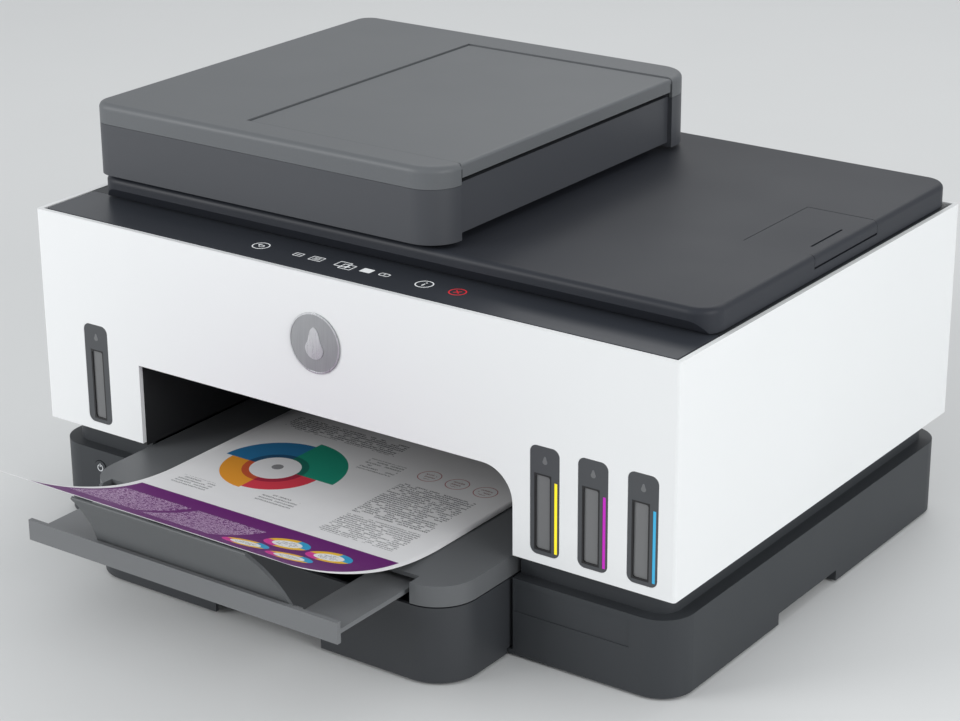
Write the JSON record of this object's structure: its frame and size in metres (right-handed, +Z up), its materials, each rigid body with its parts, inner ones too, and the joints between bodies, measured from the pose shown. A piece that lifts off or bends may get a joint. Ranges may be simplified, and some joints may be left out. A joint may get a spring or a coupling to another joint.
{
  "type": "inkjet printer",
  "caption": "Free-standing ink tank inkjet printer with flatbed scanner, sheet feeder, front trays and a printed sheet curling over the paper stop.",
  "frame": {"origin": "centre of the overall box on the desk surface, with the extended tray and the sheet included", "axes": "X to the user's right, +Y to the back of the printer, +Z up"},
  "size_m": [0.4496, 0.4684, 0.2584],
  "materials": {
    "charcoal": "fine satin texture",
    "white_shell": "smooth satin",
    "grey": "satin",
    "tray_grey": "satin",
    "dark_liner": "matt",
    "black_gloss": "high gloss",
    "rubber": "matt",
    "steel": "plain sheet",
    "tank": "smoky translucent",
    "cap_black": "satin",
    "cap_yellow": "satin",
    "cap_magenta": "satin",
    "cap_cyan": "satin",
    "light_strip": "frosted clear",
    "badge": "gloss",
    "socket": "gloss",
    "board": "solder mask",
    "gear": "natural acetal",
    "belt": "matt",
    "motor": "plain",
    "paper": "uncoated paper",
    "glass": "clear",
    "pad": "matt white"
  },
  "bodies": {
    "chassis": {"base_housing": "charcoal", "rubber_feet": "rubber", "white_shell": "white_shell", "rear_panel": "charcoal", "screws": "steel", "bay_liner": "dark_liner", "tank_bezels": "charcoal", "tank_light_strips": "light_strip", "ink_tanks": "tank", "front_badge": "badge", "power_inlet": "socket", "interface_ports": "socket", "mainboard": "board", "power_supply": "dark_liner", "side_frames": "steel", "feed_motor": "motor", "platen": "dark_liner", "rear_paper_guide": "dark_liner", "carriage_rail": "steel", "carriage_belt": "belt", "carriage_motor": "motor", "service_station": "dark_liner"},
    "power_button": {"power_button": "charcoal"},
    "cap_black": {"tank_cap_black": "cap_black"},
    "cap_yellow": {"tank_cap_yellow": "cap_yellow"},
    "cap_magenta": {"tank_cap_magenta": "cap_magenta"},
    "cap_cyan": {"tank_cap_cyan": "cap_cyan"},
    "carriage": {"carriage": "dark_liner", "printheads": "charcoal"},
    "latch": {"carriage_latch": "grey"},
    "motor_pulley": {"motor_pulley": "gear"},
    "idler_pulley": {"idler_pulley": "gear"},
    "feed_roller": {"feed_roller": "rubber", "feed_gear": "gear"},
    "idler_gear": {"idler_gear": "gear"},
    "exit_roller": {"exit_roller": "gear"},
    "pinion": {"motor_pinion": "gear"},
    "pick_arm": {"pick_arm": "dark_liner"},
    "pick_roller": {"pick_roller": "rubber"},
    "input_tray": {"input_tray": "charcoal"},
    "guide_left": {"width_guide_left": "grey"},
    "guide_right": {"width_guide_right": "grey"},
    "output_tray": {"output_tray": "tray_grey"},
    "extender": {"output_extender": "tray_grey"},
    "paper_stop": {"paper_stop": "tray_grey"},
    "sheet": {"printed_sheet": "paper"},
    "rear_door": {"rear_door": "charcoal"},
    "scanner": {"scanner_housing": "charcoal", "scanner_glass": "glass", "control_panel": "black_gloss"},
    "scan_head": {"scan_head": "dark_liner"},
    "lid": {"lid_shell": "charcoal", "lid_pad": "pad", "feeder_body": "charcoal"},
    "lid_slide_out": {"lid_slide_out": "charcoal"},
    "feeder_cover": {"feeder_cover": "grey"},
    "feeder_flap": {"feeder_flap": "grey"},
    "feeder_guide_front": {"feeder_guide_front": "dark_liner"},
    "feeder_guide_back": {"feeder_guide_back": "dark_liner"},
    "feeder_roller": {"feeder_roller": "rubber"}
  },
  "joints": [
    {"name": "power_press", "type": "slide", "parent": "chassis", "child": "power_button", "axis": [0, 1, 0], "range_m": [0, 0.0015], "stiffness_N_per_m": 300},
    {"name": "cap_black_open", "type": "hinge", "parent": "chassis", "child": "cap_black", "pos_m": [-0.185, -0.01185, 0.142], "axis": [-1, 0, 0], "range_deg": [0, 100]},
    {"name": "cap_yellow_open", "type": "hinge", "parent": "chassis", "child": "cap_yellow", "pos_m": [0.1432, -0.01185, 0.142], "axis": [-1, 0, 0], "range_deg": [0, 100]},
    {"name": "cap_magenta_open", "type": "hinge", "parent": "chassis", "child": "cap_magenta", "pos_m": [0.1737, -0.01185, 0.142], "axis": [-1, 0, 0], "range_deg": [0, 100]},
    {"name": "cap_cyan_open", "type": "hinge", "parent": "chassis", "child": "cap_cyan", "pos_m": [0.2046, -0.01185, 0.142], "axis": [-1, 0, 0], "range_deg": [0, 100]},
    {"name": "carriage_travel", "type": "slide", "parent": "chassis", "child": "carriage", "axis": [-1, 0, 0], "range_m": [0, 0.285]},
    {"name": "latch_open", "type": "hinge", "parent": "carriage", "child": "latch", "pos_m": [0.165, 0.15715, 0.14], "axis": [-1, 0, 0], "range_deg": [0, 60]},
    {"name": "motor_pulley_turn", "type": "hinge", "parent": "chassis", "child": "motor_pulley", "pos_m": [0.2, 0.18215, 0.125], "axis": [0, 1, 0], "range_deg": [0, 2750]},
    {"name": "idler_pulley_turn", "type": "hinge", "parent": "chassis", "child": "idler_pulley", "pos_m": [-0.2, 0.18215, 0.125], "axis": [0, 1, 0], "range_deg": [0, 2750]},
    {"name": "feed_turn", "type": "hinge", "parent": "chassis", "child": "feed_roller", "pos_m": [-0.165, 0.16015, 0.07], "axis": [1, 0, 0], "continuous": true},
    {"name": "idler_turn", "type": "hinge", "parent": "chassis", "child": "idler_gear", "pos_m": [-0.165, 0.13715, 0.07], "axis": [1, 0, 0], "continuous": true},
    {"name": "exit_turn", "type": "hinge", "parent": "chassis", "child": "exit_roller", "pos_m": [-0.165, 0.11415, 0.07], "axis": [1, 0, 0], "continuous": true},
    {"name": "pinion_turn", "type": "hinge", "parent": "chassis", "child": "pinion", "pos_m": [-0.165, 0.16015, 0.092], "axis": [1, 0, 0], "continuous": true},
    {"name": "pick_arm_lift", "type": "hinge", "parent": "chassis", "child": "pick_arm", "pos_m": [-0.0145, 0.13615, 0.055], "axis": [1, 0, 0], "range_deg": [0, 12]},
    {"name": "pick_roller_turn", "type": "hinge", "parent": "pick_arm", "child": "pick_roller", "pos_m": [-0.0145, 0.15615, 0.0218], "axis": [1, 0, 0], "continuous": true},
    {"name": "input_tray_pull", "type": "slide", "parent": "chassis", "child": "input_tray", "axis": [0, -1, 0], "range_m": [0, 0.12]},
    {"name": "guide_left_in", "type": "slide", "parent": "input_tray", "child": "guide_left", "axis": [1, 0, 0], "range_m": [0, 0.05]},
    {"name": "guide_right_in", "type": "slide", "parent": "input_tray", "child": "guide_right", "axis": [-1, 0, 0], "range_m": [0, 0.05]},
    {"name": "output_tray_lift", "type": "hinge", "parent": "input_tray", "child": "output_tray", "pos_m": [-0.0144, 0.09615, 0.0504], "axis": [-1, 0, 0], "range_deg": [0, 12]},
    {"name": "extender_push", "type": "slide", "parent": "output_tray", "child": "extender", "axis": [0, 1, 0], "range_m": [0, 0.058]},
    {"name": "paper_stop_fold", "type": "hinge", "parent": "extender", "child": "paper_stop", "pos_m": [-0.013, -0.19235, 0.0552], "axis": [-1, 0, 0], "range_deg": [0, 124], "deforming": ["printed_sheet"]},
    {"name": "sheet_out", "type": "slide", "parent": "output_tray", "child": "sheet", "axis": [0, -1, 0], "range_m": [0, 0.12]},
    {"name": "rear_door_open", "type": "hinge", "parent": "chassis", "child": "rear_door", "pos_m": [-0.015, 0.23015, 0.0628], "axis": [-1, 0, 0], "range_deg": [0, 75]},
    {"name": "scanner_lift", "type": "hinge", "parent": "chassis", "child": "scanner", "pos_m": [0, 0.23215, 0.193], "axis": [-1, 0, 0], "range_deg": [0, 35]},
    {"name": "scan_travel", "type": "slide", "parent": "scanner", "child": "scan_head", "axis": [1, 0, 0], "range_m": [0, 0.28]},
    {"name": "lid_open", "type": "hinge", "parent": "scanner", "child": "lid", "pos_m": [0, 0.23135, 0.1994], "axis": [-1, 0, 0], "range_deg": [0, 70]},
    {"name": "lid_support_out", "type": "slide", "parent": "lid", "child": "lid_slide_out", "axis": [1, 0, 0], "range_m": [0, 0.03]},
    {"name": "feeder_cover_open", "type": "hinge", "parent": "lid", "child": "feeder_cover", "pos_m": [-0.2075, 0.07715, 0.2461], "axis": [0, -1, 0], "range_deg": [0, 60]},
    {"name": "feeder_flap_open", "type": "hinge", "parent": "lid", "child": "feeder_flap", "pos_m": [0.0456, 0.07715, 0.253], "axis": [0, 1, 0], "range_deg": [0, 155]},
    {"name": "feeder_guide_front_in", "type": "slide", "parent": "lid", "child": "feeder_guide_front", "axis": [0, 1, 0], "range_m": [0, 0.06]},
    {"name": "feeder_guide_back_in", "type": "slide", "parent": "lid", "child": "feeder_guide_back", "axis": [0, -1, 0], "range_m": [0, 0.06]},
    {"name": "feeder_roller_turn", "type": "hinge", "parent": "lid", "child": "feeder_roller", "pos_m": [-0.13, 0.08165, 0.234], "axis": [0, 1, 0], "continuous": true}
  ],
  "couplings": [
    {"joint": "motor_pulley_turn", "follows": "carriage_travel", "rad_per_m": 166.67},
    {"joint": "idler_pulley_turn", "follows": "carriage_travel", "rad_per_m": 166.67},
    {"joint": "idler_turn", "follows": "feed_turn", "ratio": -2.2857},
    {"joint": "exit_turn", "follows": "feed_turn", "ratio": 1},
    {"joint": "pinion_turn", "follows": "feed_turn", "ratio": -2.6667},
    {"joint": "guide_right_in", "follows": "guide_left_in", "ratio": 1},
    {"joint": "feeder_guide_back_in", "follows": "feeder_guide_front_in", "ratio": 1}
  ]
}
